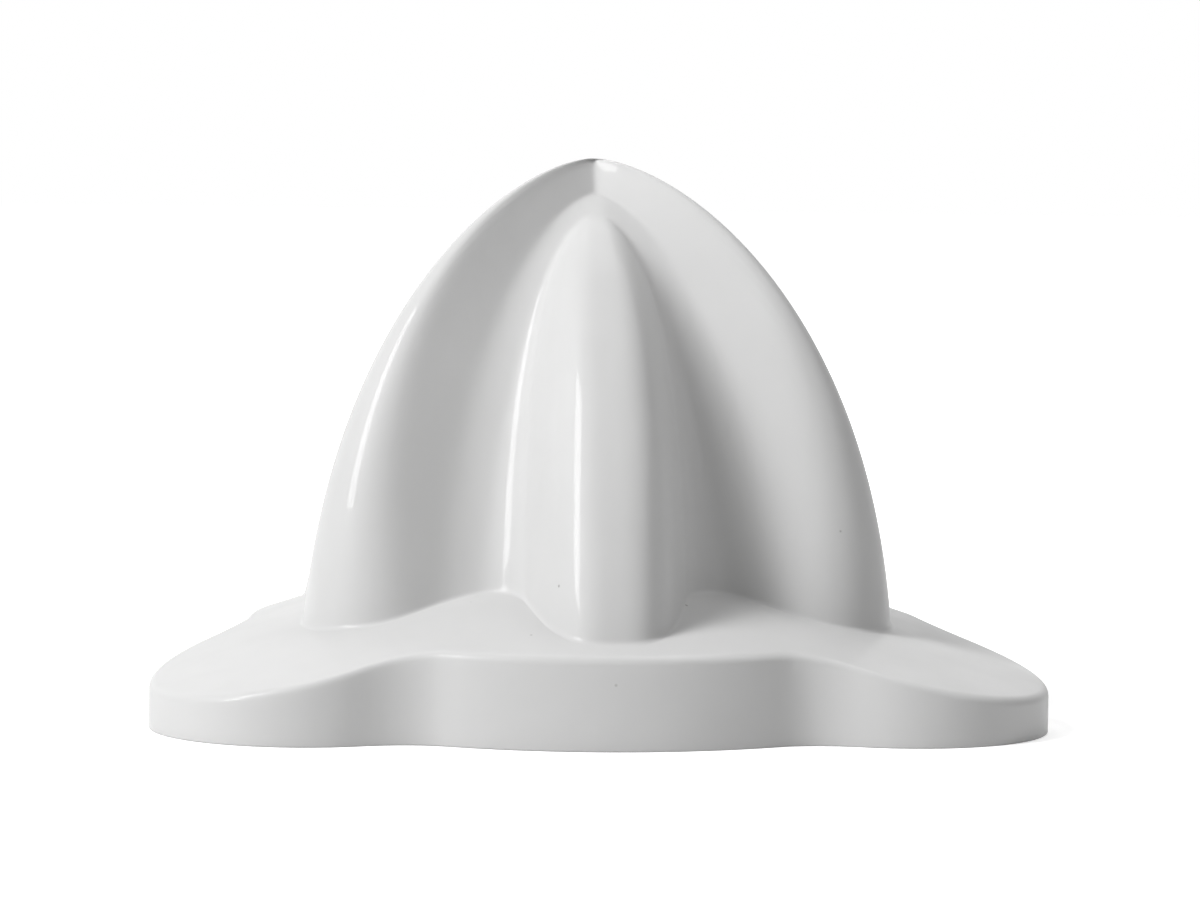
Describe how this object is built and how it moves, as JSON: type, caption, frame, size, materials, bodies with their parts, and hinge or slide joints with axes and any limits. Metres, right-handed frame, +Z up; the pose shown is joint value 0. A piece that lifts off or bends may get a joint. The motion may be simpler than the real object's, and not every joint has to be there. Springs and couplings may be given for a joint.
{
  "type": "citrus juicer reaming cone",
  "caption": "Two-size reaming cone of an electric citrus juicer: a ridged outer cone with a winged flange lifts off a smaller cone that has the drive socket.",
  "frame": {"origin": "on the cone's vertical axis, in the flat plane that both cones stand on", "axes": "+Z up along the cone's axis, out of the pointed top; -Y towards the short finger that faces the viewer; +X to the viewer's right"},
  "size_m": [0.0854, 0.0806, 0.0539],
  "materials": {
    "cone_plastic": "polished pale grey-white moulding",
    "hub_plastic": "slightly duller pale grey-white moulding"
  },
  "bodies": {
    "small_cone_body": {"small_cone": "hub_plastic"},
    "large_cone_body": {"large_cone": "cone_plastic"}
  },
  "joints": [
    {"name": "large_cone_lift", "type": "slide", "parent": "small_cone_body", "child": "large_cone_body", "axis": [0, 0, 1], "range_m": [0, 0.06]}
  ]
}
